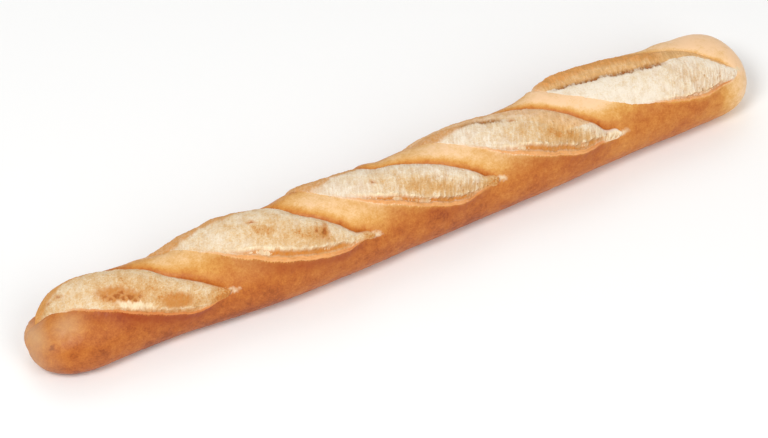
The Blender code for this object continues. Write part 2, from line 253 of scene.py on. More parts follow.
# %% Sizes of the slashes
PLAIN = dict(
    slant=-28.5, back_swell=0.50, bulge_from=-1.60, lip=3.0, lip_from=-0.50, crease=2.8, starts=-0.985,
    wall=0.0, foot=((0.0, 17.0),), crevice=0.0, crevice_span=(-0.75, 0.3), rim_toast=0.0, plain=0.0, painted_groove_shade=0.0,
)
NOWHERE = 99.0  # further round than the loaf is
SLASHES = (
    dict(
        PLAIN, tip=(-145.0, -33.8), slant=-29.0, half_length=80.0, front=24.6, back=13.0,
        front_powers=(0.44, 1.10), back_powers=(1.90, 0.60), back_swell=0.40, bulge=6.4, bulge_from=-1.20,
        lip_bends=((-0.40, 0.10, 0.9), (0.42, 0.42, 1.95), (0.72, 0.10, 1.4), (0.91, 0.08, -2.2)),
        crease_bends=((0.14, 0.22, 3.2), (0.46, 0.14, -1.7), (0.80, 0.16, 1.4)),
        crease=2.6, starts=-0.80, ridge=(0.05, 4.6, 0.35), gold=(17.0, 14.0, -1.0),
        # A tone of 0.50 darkens this crumb, partly as painted shade.
        strands=0.45, tone=0.50, toast=0.22, tip_toast=0.50, rim_toast=0.80, red_shade_below_lip=1.15, painted_groove_shade=0.8,
    ),
    dict(
        PLAIN, tip=(-37.0, -34.0), half_length=87.0, front=28.0, back=13.0,
        front_powers=(0.62, 1.30), back_powers=(1.45, 0.60), bulge=6.2,
        lip_bends=((0.60, 0.24, -1.9), (0.88, 0.10, -4.6)),
        crease_bends=((-0.05, 0.28, 6.0), (0.17, 0.13, 5.0), (0.82, 0.08, -1.4), (0.94, 0.05, 1.2)),
        ridge=(-0.10, 8.4, 1.0), gold=(15.5, 11.0, -0.75),
        strands=0.60, tone=0.33, toast=0.26, tip_toast=0.42, red_shade_below_lip=0.85,
    ),
    dict(
        PLAIN, tip=(63.0, -32.2), half_length=86.0, front=28.5, back=10.0,
        front_powers=(0.48, 1.30), back_powers=(1.15, 0.60), bulge=4.6,
        lip_bends=((0.89, 0.10, -5.5),),
        crease_bends=((-0.05, 0.13, -6.0), (0.10, 0.20, -1.0), (0.87, 0.05, -1.2), (0.95, 0.05, 1.2)),
        ridge=(-0.15, 6.6, 1.0), gold=(14.0, 8.0, -0.50),
        strands=1.0, tone=0.14, toast=0.34, tip_toast=0.70, red_shade_below_lip=0.40,
    ),
    dict(
        PLAIN, tip=(162.5, -36.3), half_length=86.0, front=24.6, back=10.8,
        front_powers=(0.50, 1.16), back_powers=(1.28, 0.60), back_swell=0.55, bulge=4.4, lip_from=-0.45,
        lip_bends=((0.05, 0.30, 1.3), (0.85, 0.13, -4.6)),
        crease_bends=((0.20, 0.38, 6.6), (0.84, 0.06, -2.0), (0.94, 0.05, 1.4)),
        ridge=(0.0, 8.2, 1.0), gold=(13.5, 10.0, -0.15),
        wall=1.5, foot=((0.45, 19.0), (0.72, 0.6)), crevice=1.4, crevice_span=(-0.32, -0.04),
        strands=1.0, tone=0.12, toast=0.48, tip_toast=-0.60, red_shade_below_lip=0.50,
    ),
    dict(
        PLAIN, tip=(266.0, -25.5), slant=-21.8, half_length=78.6, front=27.3, back=21.0,
        front_powers=(0.53, 0.85), back_powers=(1.20, 0.90), back_swell=0.0, bulge=2.6, lip=2.4, lip_from=0.0,
        lip_bends=((-0.60, 0.25, 0.4), (-0.15, 0.15, 0.8), (0.52, 0.11, 0.9), (0.82, 0.09, -2.5)),
        crease_bends=((0.35, 0.20, 1.6), (0.60, 0.20, 2.6), (0.86, 0.12, 1.4)), crease=1.4,
        ridge=(0.30, 4.6, 0.8), gold=(NOWHERE, NOWHERE, -1.0),
        wall=8.6, crevice=2.4, crevice_span=(-0.72, 0.28),
        foot=((-0.9, 19.0), (-0.6, 20.9), (-0.43, 24.0), (-0.17, 24.9), (0.0, 23.0), (0.2, 18.3), (0.3, 16.9),
              (0.56, 6.4), (0.72, 3.2), (0.92, 2.2)),
        strands=0.60, tone=0.05, toast=0.10, tip_toast=0.0, plain=0.65, red_shade_below_lip=0.15,
    ),
)
FLARE_REACH = 5.0  # how far down the side the crust still leans out under a lip
STRAP_SHOULDER = 3.0  # how steeply a strap of crust falls to its crease
CREASE_REACH = 4.0  # how far the crumb dips on its way to the crease
WALL_BACK_REACH = 10.0
CREVICE_WIDTH = 2.0
FULL_WALL = 4.0  # a back wall of this height hides the crease altogether
NARROW_RIM = 3.0  # how wide the torn edge is where no groove has opened behind it
GROOVE_DEPTH = 1.3
RIDGE_WIDTH = 1.1
RIDGE_HEIGHT = 1.6
LIP_RAGGED = 0.5  # how far the torn lip strays from its smooth line
CREASE_RAGGED = 0.4
FEATHER_LENGTH = 13.0  # the streak of torn skin that runs on past a front tip
FEATHER_WIDTH = 3.5


# %% One slash as a function
def blade_line(slash):
    """The middle of a slash, as a place along X and round the section, and its direction there."""
    slant = math.radians(slash["slant"])
    run = math.cos(slant)
    climb = math.sin(slant)
    tip_x, tip_girth = slash["tip"]
    return tip_x - slash["half_length"] * run, tip_girth - slash["half_length"] * climb, run, climb


def opening(x, girth, slash):
    """Where a point lies in a slash: its reach (-1 back tip, 1 front tip), how far it is past the lip, and
    how far it is short of the crease. Both distances are positive inside the opening."""
    middle_x, middle_girth, run, climb = blade_line(slash)
    dx = x - middle_x
    dg = girth - middle_girth
    reach = (dx * run + dg * climb) / slash["half_length"]
    across = dg * run - dx * climb
    lip_line, crease_line = edge_lines(reach, slash)
    return reach, across - lip_line, crease_line - across


def edge_lines(reach, slash):
    """How far the lip and the crease lie from the slash's centre line."""
    closing = np.clip(1.0 - reach * reach, 0.0, 1.0)
    front_half = reach > 0.0
    front_power = np.where(front_half, *slash["front_powers"])
    back_power = np.where(front_half, *slash["back_powers"])
    swell = 1.0 + slash["back_swell"] * fade(-0.5, 0.3, reach)
    along = reach * slash["half_length"]
    loose = smooth(0.0, 0.25, closing)
    lip_line = -slash["front"] * closing**front_power
    crease_line = slash["back"] * closing**back_power * swell
    held = np.clip(closing / 0.12, 0.0, 1.0)
    for middle, width, outwards in slash["lip_bends"]:
        lip_line = lip_line - outwards * held * bell(reach, middle, width)
    for middle, width, outwards in slash["crease_bends"]:
        crease_line = crease_line + outwards * held * bell(reach, middle, width)
    lip_line = lip_line - LIP_RAGGED * loose * wander(along, 27.0, slash["half_length"])
    crease_line = crease_line + CREASE_RAGGED * loose * wander(along, 61.0, slash["bulge"])
    return lip_line, crease_line


def slash_at(x, girth, slash):
    """What one slash does at the given places: heights of crust and crumb, and shares for their colours."""
    at = SimpleNamespace()
    at.reach, at.past_lip, at.before_crease = opening(x, girth, slash)
    p = at.past_lip
    q = at.before_crease
    within = np.abs(at.reach) < 1.0
    at.inside = within & (p > 0.0) & (q > 0.0)
    at.along = at.reach * slash["half_length"]
    at.closing = np.clip(1.0 - at.reach * at.reach, 0.0, 1.0)
    width = np.maximum(p + q, 1e-6)
    front = slash["lip_from"]
    closes = fade(0.8, 1.0, at.reach)
    at.lip_share = smooth(front, front + 0.8, at.reach) * closes * within
    at.lip_shade = smooth(front, front + 0.45, at.reach) * closes * within
    at.wall_share = smooth(-1.0, -0.70, at.reach) * fade(-0.72, 0.42, at.reach)
    deep_wall = min(1.0, slash["wall"] / FULL_WALL)
    at.crease_share = fade(0.85, 1.0, np.abs(at.reach)) * (1.0 - at.wall_share * deep_wall)
    at.crease_share = at.crease_share * smooth(slash["starts"] - 0.10, slash["starts"] + 0.05, at.reach)

    # How high the lip, the crease and the back wall are here.
    lip = slash["lip"] * at.lip_share * (1.0 + 0.10 * wander(at.along, 33.0, 2.0))
    crease = slash["crease"] * at.crease_share
    wall = slash["wall"] * at.wall_share

    # The crumb swells up between its edges. A groove opens behind the lip, and ends at a ragged ridge.
    swelling = slash["bulge"] * np.sqrt(at.closing) * np.sin(math.pi * np.clip(p / width, 0.0, 1.0)) ** 0.8
    swelling = swelling * smooth(slash["bulge_from"], slash["bulge_from"] + 0.6, at.reach)
    opens, ridge_at, depth = slash["ridge"]
    opened = smooth(opens - 0.20, opens + 0.25, at.reach) * fade(0.68, 0.93, at.reach)
    ridge_at = NARROW_RIM + (ridge_at - NARROW_RIM + 0.6 * wander(at.along, 41.0, 3.0)) * opened
    crest = ridge_at + 0.5 * wander(at.along, 9.0, 1.0)
    ragged = np.clip(0.75 + 0.45 * wander(at.along, 13.0, 5.0), 0.0, None)
    at.groove = opened * depth * bell(p, 0.64 * ridge_at, 0.22 * ridge_at)
    at.ridge = opened * depth * bell(p, crest, RIDGE_WIDTH) * ragged
    at.rim = at.lip_shade * fade(0.30 * ridge_at, 0.42 * ridge_at + 0.5, p)
    crumb = swelling + RIDGE_HEIGHT * at.ridge - GROOVE_DEPTH * at.groove
    crumb = crumb + lip * fall_off(p, 0.32 * ridge_at + 0.8, 1.6)
    crumb = crumb - crease * fall_off(q, CREASE_REACH)

    # At the back it may climb a wall, with a crevice at its foot.
    foot = np.interp(at.reach, *zip(*slash["foot"])) + 0.5 * wander(at.along, 47.0, 4.0)
    foot = np.maximum(foot, 0.6)
    at.wall = smooth(-1.0, -0.8, at.reach) * fade(0.85, 0.97, at.reach) * deep_wall
    at.wall = at.wall * fade(foot - 1.6, foot, q)
    crumb = crumb + wall * fade(0.0, foot, q)
    span_from, span_to = slash["crevice_span"]
    crevice_share = smooth(span_from - 0.1, span_from + 0.1, at.reach)
    crevice_share = crevice_share * fade(span_to - 0.1, span_to + 0.1, at.reach)
    open_here = np.clip(0.66 + 0.42 * wander(at.along, 23.0, 6.0), 0.30, 1.0)
    gape = bell(q, foot + 0.6 * wander(at.along, 7.0, 2.0), CREVICE_WIDTH)
    at.crevice = crevice_share * open_here * gape * min(1.0, slash["crevice"])
    at.crumb = crumb - max(1.0, slash["crevice"]) * at.crevice
    at.filled = smooth(slash["starts"], slash["starts"] + 0.10, at.reach)

    # Outside the slash the crust leans out under the lip, and falls to the crease or climbs to the wall.
    flare = lip * fall_off(-p, FLARE_REACH) * (p <= 0.0)
    strap = wall * fall_off(-q, WALL_BACK_REACH, 2.0) - crease * fall_off(-q, STRAP_SHOULDER)
    at.crust = (flare + strap * (q <= 0.0)) * within

    # A streak of torn skin runs on past the front tip.
    past_tip = x - slash["tip"][0]
    beside_tip = girth - slash["tip"][1] + 0.12 * past_tip + 0.8 * wander(x, 19.0, 3.0)
    at.feather = smooth(-12.0, -2.0, past_tip) * fade(0.0, FEATHER_LENGTH, past_tip)
    at.feather = at.feather * bell(beside_tip, 0.0, FEATHER_WIDTH)
    return at


for slash in SLASHES:
    lip_line, crease_line = edge_lines(np.linspace(-1.0, 1.0, 201), slash)
    print("slash with its tip at", slash["tip"], "opens", np.round(np.max(crease_line - lip_line), 1), "mm")

# %% [markdown]
# ## Making meshes
#
# Every surface of the loaf is a sheet of rows and columns that closes on itself, so one small function
# turns points and faces into a mesh, and stores numbers for the materials on its points. Its texture map
# is laid out flat from the same rows and columns, so that an export can bake the colours without any
# stretch. The corners of each face are listed so that it points outwards.

# %% Helpers for meshes
BAKE_MAP = "OFBake"


def give(mesh, name, values):
    """Stores one number, or one vector, on each point of a mesh, from a list or a grid of them."""
    vectors = values.shape[-1] == 3
    layer = mesh.attributes.new(name, "FLOAT_VECTOR" if vectors else "FLOAT", "POINT")
    layer.data.foreach_set("vector" if vectors else "value", np.ascontiguousarray(values, np.float32).ravel())


def make_mesh(name, points, faces, flat, looks):
    """A mesh object from points in millimetres and faces, with a place on the flat map for each face corner
    and named looks for each point."""
    mesh = bpy.data.meshes.new(name)
    mesh.from_pydata((points * MM).tolist(), [], faces.tolist())
    layer = mesh.uv_layers.new(name=BAKE_MAP)
    layer.uv.foreach_set("vector", np.ascontiguousarray(flat, np.float32).ravel())
    for label, values in looks.items():
        give(mesh, label, values)
    mesh.shade_smooth()
    piece = bpy.data.objects.new(name, mesh)
    bpy.context.scene.collection.objects.link(piece)
    return piece


# %% [markdown]
# ## Materials: one helper for all nodes
#
# Colours are written as they look on a screen, in sRGB hex, and one function turns them to the linear
# values that a renderer needs. One small function adds any node, sets it up and links it.

# %% Helpers for nodes
def colour(hex_code):
    """Linear red, green, blue and alpha of an sRGB hex colour."""
    shares = [int(hex_code[k : k + 2], 16) / 255.0 for k in (1, 3, 5)]
    linear = [s / 12.92 if s <= 0.04045 else ((s + 0.055) / 1.055) ** 2.4 for s in shares]
    return (*linear, 1.0)


def plug(tree, node, inputs):
    """Fills a node's inputs, by name or number. A socket is linked, and a value is set."""
    for key, value in inputs.items():
        if isinstance(value, bpy.types.NodeSocket):
            tree.links.new(value, node.inputs[key])
        else:
            node.inputs[key].default_value = value


def add(tree, kind, inputs=None, out=0, stops=(), **settings):
    """Adds a node with its settings and inputs. Gives back the output that is asked for, or else the node."""
    node = tree.nodes.new(kind)
    for key, value in settings.items():
        setattr(node, key, value)
    plug(tree, node, inputs or {})
    for number, (place, hex_code) in enumerate(stops):
        elements = node.color_ramp.elements
        element = elements[number] if number < len(elements) else elements.new(place)
        element.position = place
        element.color = colour(hex_code)
    return node if out is None else node.outputs[out]


def new_material(name):
    """An empty material with its Principled shader."""
    material = bpy.data.materials.new(name)
    material.use_nodes = True
    return material, material.node_tree, material.node_tree.nodes["Principled BSDF"]


# %% [markdown]
# Crust and crumb are built up in the same three steps: a share is broken up by noise of several sizes,
# coats of other colours are laid over the tint that it gives, and a fine grain roughens the surface.

# %% The three steps of a finish
def mottled(tree, place, share, patches):
    """A share broken up by patches: their size in millimetres, how far they change it, and their detail."""
    for size, spread, detail in patches:
        inputs = {"Vector": place, "Scale": 1.0 / (size * MM), "Detail": detail}
        patch = add(tree, "ShaderNodeTexNoise", inputs, normalize=False)
        share = add(tree, "ShaderNodeMath", {0: patch, 1: spread, 2: share}, operation="MULTIPLY_ADD")
    return share


def coated(tree, tint, coats):
    """A tint with coats over it: for each, the share of it that shows, and its colour."""
    for share, hex_code in coats:
        tint = add(tree, "ShaderNodeMix", {0: share, 6: tint, 7: colour(hex_code)}, out=2, data_type="RGBA")
    return tint


def finish(tree, shader, tint, place, grain, inputs):
    """Fills the shader's inputs, and adds a grain: its size in millimetres, detail, strength and height."""
    size, detail, strength, height = grain
    noise = {"Vector": place, "Scale": 1.0 / (size * MM), "Detail": detail}
    bump = {"Strength": strength, "Distance": height * MM, "Height": add(tree, "ShaderNodeTexNoise", noise)}
    plug(tree, shader, {**inputs, "Base Color": tint, "Normal": add(tree, "ShaderNodeBump", bump)})


# %% [markdown]
# ## Crust: baked wheat dough
#
# Steam turns the skin of the dough to a thin film of gelled starch, which then browns. It gives the eye a
# warm golden brown with a low, broad gloss, mottled at every scale from a thumb's width to a grain of
# flour. How brown it looks depends on the place: pale gold on the straps over the crest, partly as painted
# light from above, orange brown on the sides, and reddest in the hollow under each lip, where shade is
# painted into the colour. That share is worked out with the shape and stored on the mesh, and the
# material turns it into colours and breaks it up.

# %% The crust material
CRUST_COLOURS = (
    (0.00, "#fdd2a4"), (0.15, "#f5c890"), (0.30, "#e9b46e"), (0.45, "#dd9e4e"),
    (0.60, "#d0873a"), (0.75, "#c3722b"), (0.88, "#b45f20"), (1.00, "#974915"),
)
CRUST_MOTTLING = ((30.0, 0.10, 2.0), (8.0, 0.11, 2.0), (2.6, 0.08, 2.0), (1.1, 0.09, 1.0))
CRUST_GRAIN = (1.1, 3.0, 0.45, 0.14)
FRAY_SIZE = 2.6  # of the patches that break up the torn skin past a tip, in millimetres
SHEEN_SIZE = 4.0
# Painted shade: the red brown in the hollow under each lip.
RED_SHADE_COLOUR = "#98390c"
# Flour on the left end; the same colour paints a highlight spot there.
FLOUR_AND_HIGHLIGHT = "#d9b48a"
FRAYED = "#f3dcb6"


def crust_material():
    material, tree, shader = new_material("baked wheat crust")
    place = add(tree, "ShaderNodeTexCoord", out="Object")
    stored = {
        name: add(tree, "ShaderNodeAttribute", out="Fac", attribute_name=name)
        for name in ("brown_light_and_shade", "red_shade_below_lip", "flour_and_highlight", "feather")
    }
    brown = mottled(tree, place, stored["brown_light_and_shade"], CRUST_MOTTLING)
    tint = add(tree, "ShaderNodeValToRGB", {"Fac": brown}, stops=CRUST_COLOURS)
    frayed, sheen = (
        add(tree, "ShaderNodeTexNoise", {"Vector": place, "Scale": 1.0 / (size * MM), "Detail": 3.0})
        for size in (FRAY_SIZE, SHEEN_SIZE)
    )
    streak = add(tree, "ShaderNodeMath", {0: stored["feather"], 1: frayed}, operation="MULTIPLY")
    streak = {"Value": streak, "From Min": 0.22, "From Max": 0.52, "To Max": 0.75}
    streak = add(tree, "ShaderNodeMapRange", streak, clamp=True)
    coats = ((stored["red_shade_below_lip"], RED_SHADE_COLOUR), (stored["flour_and_highlight"], FLOUR_AND_HIGHLIGHT), (streak, FRAYED))
    rough = add(tree, "ShaderNodeMath", {0: sheen, 1: 0.20, 2: 0.36}, operation="MULTIPLY_ADD")
    inputs = {"Roughness": rough, "IOR": 1.45, "Specular IOR Level": 0.34}
    finish(tree, shader, coated(tree, tint, coats), place, CRUST_GRAIN, inputs)
    return material


crust_finish = crust_material()
print("material:", crust_finish.name)

# %% [markdown]
# ## Strands: one pattern for shape and colour
#
# Torn dough hangs together in strands. In a picture they show as much by their shade as by their height,
# so one pattern serves both: the relief below carves it, and the crumb's material paints shade between
# strands. The strands are the thin crests where a stretched noise crosses its middle value.

# %% The strand pattern
def strands(tree, spot):
    """Crests at 0 where noise passes its middle value, and hollows of -1 between them."""
    inputs = {"Vector": spot, "Scale": 0.5, "Detail": 1.5, "Roughness": 0.6, "Distortion": 0.25}
    noise = add(tree, "ShaderNodeTexNoise", inputs, normalize=False)
    far = add(tree, "ShaderNodeMath", {0: noise}, operation="ABSOLUTE")
    deep = add(tree, "ShaderNodeMath", {0: far, 1: 3.0}, operation="MULTIPLY", use_clamp=True)
    return add(tree, "ShaderNodeMath", {0: deep, 1: -1.0}, operation="MULTIPLY")


# %% [markdown]
# ## Crumb: torn and dried in the oven
#
# The crumb tears late, so it is paler than the crust: matte, cream where it was sheltered, tan where it
# stood up into the heat. It is a foam of stretched dough, and its strands run across the slash, a little
# over a millimetre apart, with pores between them. The relief that the mesh is given below is stored on it
# too, so that shade can be painted into the hollows, darker and warmer than the strands.

# %% The crumb material
CRUMB_COLOURS = (
    (0.00, "#f6e9d5"), (0.25, "#eedbbd"), (0.55, "#e4c395"), (0.80, "#d7a56b"), (1.00, "#c67d3a"),
)
CRUMB_MOTTLING = ((13.0, 0.13, 2.0), (4.5, 0.20, 3.0), (1.3, 0.20, 2.0), (0.8, 0.16, 1.0))
CRUMB_GRAIN = (0.6, 2.0, 0.5, 0.12)
BREAK_SIZE = 1.8  # of the patches that break up the layers, in millimetres
STRAND = (1.35, 9.0, 1.35)  # a strand's width and length, in the directions along and across a slash
# Painted shade: between strands, and in hollows, where it is full at the depth below.
STRAND_GAP_SHADE = "#cf9d5c"
HOLLOW_SHADE = "#bd8442"
DARKEST_HOLLOW = 1.1  # millimetres deep
CRUMB_LAYERS = (  # name, colour, and the share that stays where the layer is broken up
    ("back_gold", "#d8954b", 0.7),
    ("wall", "#efbd80", 0.8),
    ("wall_top", "#e79c50", 0.8),
    ("wall_end", "#f0c48c", 0.9),
    ("torn", "#c87f3a", 0.8),
    ("rim", "#eba767", 0.85),
    # Toast on the first slash's rim, and painted shade on the rims near the front tips.
    ("rim_toast_and_tip_shade", "#d27a41", 0.8),
    ("groove", "#d0802f", 0.85),
    ("ridge", "#fdeac6", 0.9),
    # The crease layer is painted shade where the crumb tucks under the crust.
    ("crease", "#c07a3b", 1.0),
    # The crevice layer is painted shade in the crevice at the foot of a wall.
    ("crevice", "#a26c38", 0.6),
    # Painted shade in tears, in the crevice and along the seam.
    ("painted_deep_shade", "#ab5f28", 0.7),
)


def crumb_material():
    material, tree, shader = new_material("torn bread crumb")
    place = add(tree, "ShaderNodeTexCoord", out="Object")
    stored = {
        name: add(tree, "ShaderNodeAttribute", out="Fac", attribute_name=name)
        for name in ("relief", "toast", "strung", *(layer[0] for layer in CRUMB_LAYERS))
    }
    toast = mottled(tree, place, stored["toast"], CRUMB_MOTTLING)
    tint = add(tree, "ShaderNodeValToRGB", {"Fac": toast}, stops=CRUMB_COLOURS)
    patch = {"Vector": place, "Scale": 1.0 / (BREAK_SIZE * MM), "Detail": 3.0}
    patch = add(tree, "ShaderNodeTexNoise", patch)
    coats = []
    for name, hex_code, least in CRUMB_LAYERS:
        broken = {"Value": patch, "From Min": 0.35, "From Max": 0.6, "To Min": least, "To Max": 1.0}
        share = {0: stored[name], 1: add(tree, "ShaderNodeMapRange", broken, clamp=True)}
        coats.append((add(tree, "ShaderNodeMath", share, operation="MULTIPLY", use_clamp=True), hex_code))
    # Painted shade between strands where they are strung, and in hollows by their depth.
    flat = add(tree, "ShaderNodeAttribute", out="Vector", attribute_name="place")
    spot = add(tree, "ShaderNodeVectorMath", {0: flat, 1: STRAND}, operation="DIVIDE")
    between = add(tree, "ShaderNodeMath", {0: strands(tree, spot), 1: -0.42}, operation="MULTIPLY")
    between = {0: between, 1: stored["strung"]}
    between = add(tree, "ShaderNodeMath", between, operation="MULTIPLY", use_clamp=True)
    hollow = {"Value": stored["relief"], "From Min": 0.0, "From Max": -DARKEST_HOLLOW, "To Max": 0.6}
    hollow = add(tree, "ShaderNodeMapRange", hollow, clamp=True)
    coats += [(between, STRAND_GAP_SHADE), (hollow, HOLLOW_SHADE)]
    inputs = {"Roughness": 0.88, "IOR": 1.4, "Specular IOR Level": 0.25}
    finish(tree, shader, coated(tree, tint, coats), place, CRUMB_GRAIN, inputs)
    return material


crumb_finish = crumb_material()
print("material:", crumb_finish.name)

# %% [markdown]
# ## Fine relief by Geometry Nodes
#
# Lumps, wrinkles, strands and pores all follow the surface, so one kind of node tree carves them: it adds
# up layers of noise, each with its own width, length and depth, and moves every point along its normal.
# Three patterns are enough. Lumps are plain noise. Strands are the thin crests where noise crosses its
# middle value. Pores are bowls round scattered cell centres. The sum is stored as relief, in millimetres,
# for the crumb's material to read.

# %% The relief tree
def new_tree(name, inputs):
    """A geometry tree with named inputs (name, kind, value), and the outputs of its input node."""
    tree = bpy.data.node_groups.new(name, "GeometryNodeTree")
    tree.interface.new_socket(name="Geometry", in_out="INPUT", socket_type="NodeSocketGeometry")
    tree.interface.new_socket(name="Geometry", in_out="OUTPUT", socket_type="NodeSocketGeometry")
    for label, kind, value in inputs:
        socket = tree.interface.new_socket(name=label, in_out="INPUT", socket_type=kind)
        if value is not None:
            socket.default_value = value
    return tree, add(tree, "NodeGroupInput", out=None).outputs


def relief_tree(name, layers):
    """A tree with named sizes for each layer: its name, pattern, width, length, depth, and where it shows."""
    inputs = [("Material", "NodeSocketMaterial", None)]
    for label, pattern, *sizes, mask in layers:
        for side, size in zip(("width", "length", "depth"), sizes):
            inputs.append((f"{label} {side}", "NodeSocketFloat", size))
    tree, given = new_tree(name, inputs)
    named = "GeometryNodeInputNamedAttribute"
    place = add(tree, named, {"Name": "place"}, data_type="FLOAT_VECTOR")
    total = 0.0
    for label, pattern, *sizes, mask in layers:
        sides = {"X": given[f"{label} width"], "Y": given[f"{label} length"], "Z": given[f"{label} width"]}
        scale = add(tree, "ShaderNodeCombineXYZ", sides)
        spot = add(tree, "ShaderNodeVectorMath", {0: place, 1: scale}, operation="DIVIDE")
        deep = {0: add(tree, named, {"Name": mask}), 1: given[f"{label} depth"]}
        deep = add(tree, "ShaderNodeMath", deep, operation="MULTIPLY")
        height = PATTERNS[pattern](tree, spot)
        total = add(tree, "ShaderNodeMath", {0: height, 1: deep, 2: total}, operation="MULTIPLY_ADD")
    kept = {"Geometry": given["Geometry"], "Name": "relief", "Value": total}
    kept = add(tree, "GeometryNodeStoreNamedAttribute", kept, domain="POINT")
    metres = add(tree, "ShaderNodeMath", {0: total, 1: MM}, operation="MULTIPLY")
    offset = {0: add(tree, "GeometryNodeInputNormal"), "Scale": metres}
    offset = add(tree, "ShaderNodeVectorMath", offset, operation="SCALE")
    moved = add(tree, "GeometryNodeSetPosition", {"Geometry": kept, "Offset": offset})
    real = add(tree, "GeometryNodeRealizeInstances", {"Geometry": moved})
    dressed = add(tree, "GeometryNodeSetMaterial", {"Geometry": real, "Material": given["Material"]})
    add(tree, "NodeGroupOutput", {"Geometry": dressed}, out=None)
    return tree


# %% Three patterns of relief
def lumps(tree, spot):
    """Soft noise, up to 1 high and deep."""
    return add(tree, "ShaderNodeTexNoise", {"Vector": spot, "Scale": 1.0, "Detail": 2.0}, normalize=False)


def pores(tree, spot):
    """Bowls of -1 round scattered centres, few of them wide."""
    cell = add(tree, "ShaderNodeTexVoronoi", {"Vector": spot, "Scale": 1.0}, out=None).outputs
    chance = add(tree, "ShaderNodeSeparateXYZ", {"Vector": cell["Color"]})
    rare = add(tree, "ShaderNodeMath", {0: chance, 1: 2.5}, operation="POWER")
    radius = add(tree, "ShaderNodeMath", {0: rare, 1: 0.42, 2: 0.05}, operation="MULTIPLY_ADD")
    edge = add(tree, "ShaderNodeMath", {0: cell["Distance"], 1: radius}, operation="DIVIDE")
    bowl = add(tree, "ShaderNodeMath", {0: edge, 1: edge}, operation="MULTIPLY", use_clamp=True)
    return add(tree, "ShaderNodeMath", {0: bowl, 1: 1.0}, operation="SUBTRACT")


PATTERNS = {"lumps": lumps, "strands": strands, "pores": pores}


def apply_tree(piece, tree, values):
    """Runs a node tree on a piece with values for its named inputs, and keeps the result as a plain mesh."""
    modifier = piece.modifiers.new(tree.name, "NODES")
    modifier.node_group = tree
    for item in tree.interface.items_tree:
        if item.item_type == "SOCKET" and item.in_out == "INPUT" and item.name in values:
            modifier[item.identifier] = values[item.name]
    graph = bpy.context.evaluated_depsgraph_get()
    mesh = bpy.data.meshes.new_from_object(piece.evaluated_get(graph))
    piece.modifiers.remove(modifier)
    mesh.name = piece.name
    piece.data = mesh
    return piece


# %% [markdown]
# ## The crust
#
# The crust is one closed skin. Inside each slash it dives under the crumb, so that the crumb can be a
# piece of its own with its own finish, and only the torn edge shows. A lip drawn on a regular grid would
# come out as a saw edge, so the grid points nearest to each lip and crease are slid round the loaf until
# they lie on it, and the faces there are split along it.

# %% The crust's rows and columns
STATIONS = 760
FINE_STEP = 1.0  # between columns over the slashed top, in millimetres round the section
COARSE_STEP = 3.4  # and over the plain lower sides and the underside
FINE_FROM = -47.0
FINE_TO = 51.0
HALF_ROUND = math.pi * GIRTH_RADIUS


def crust_columns():
    """Places round the section, from the underside over the front, the crest and the back."""
    front = np.arange(-HALF_ROUND, FINE_FROM, COARSE_STEP)
    top = np.arange(FINE_FROM, FINE_TO, FINE_STEP)
    back = np.linspace(FINE_TO, HALF_ROUND, len(front), endpoint=False)
    return np.concatenate([front, top, back])


NUDGE = 0.02  # the step that shows how fast the distance to an edge changes
LEAST_SLOPE = 0.2  # keeps a slide short where an edge runs round the loaf
CLEAR_OF_TIPS = 0.985  # the farthest reach at which points are slid
CLEAR_OF_OTHER_EDGE = 0.4
PAST_LIP = 1  # the places of the two distances in what opening gives
BEFORE_CREASE = 2


def snap_to_edges(x, girth):
    """Slides the points nearest to a lip or a crease onto it. Gives the places, and which lie on an edge."""
    on_edge = np.zeros(x.shape, bool)
    for slash in SLASHES:
        for edge, other in ((PAST_LIP, BEFORE_CREASE), (BEFORE_CREASE, PAST_LIP)):
            here = opening(x, girth, slash)
            slope = (opening(x, girth + NUDGE, slash)[edge] - here[edge]) / NUDGE
            shift = -here[edge] / np.where(np.abs(slope) < LEAST_SLOPE, LEAST_SLOPE, slope)
            near = (np.abs(shift) <= 0.5 * FINE_STEP) & (np.abs(here[0]) < CLEAR_OF_TIPS)
            near = near & (here[other] > CLEAR_OF_OTHER_EDGE) & ~on_edge
            girth = np.where(near, girth + shift, girth)
            on_edge |= near
    return girth, on_edge


SUNK = 3.0  # how far the hidden crust lies under the crumb
DIVE = 0.7  # how far inside the opening it has reached that depth
COLOUR_INSIDE = 2.0  # the colours of a lip and a crease go on this far inside, to leave no gap at the edge
SHADE_REACH = 9.0  # how far down the side painted shade darkens the crust under a lip
EDGE_REACH = 1.1  # and how far the painted highlight on a lip's thin edge reaches
TOAST_AND_SHADE_REACH = 4.3  # how far a strap is toasted and darkened with painted shade behind a crease


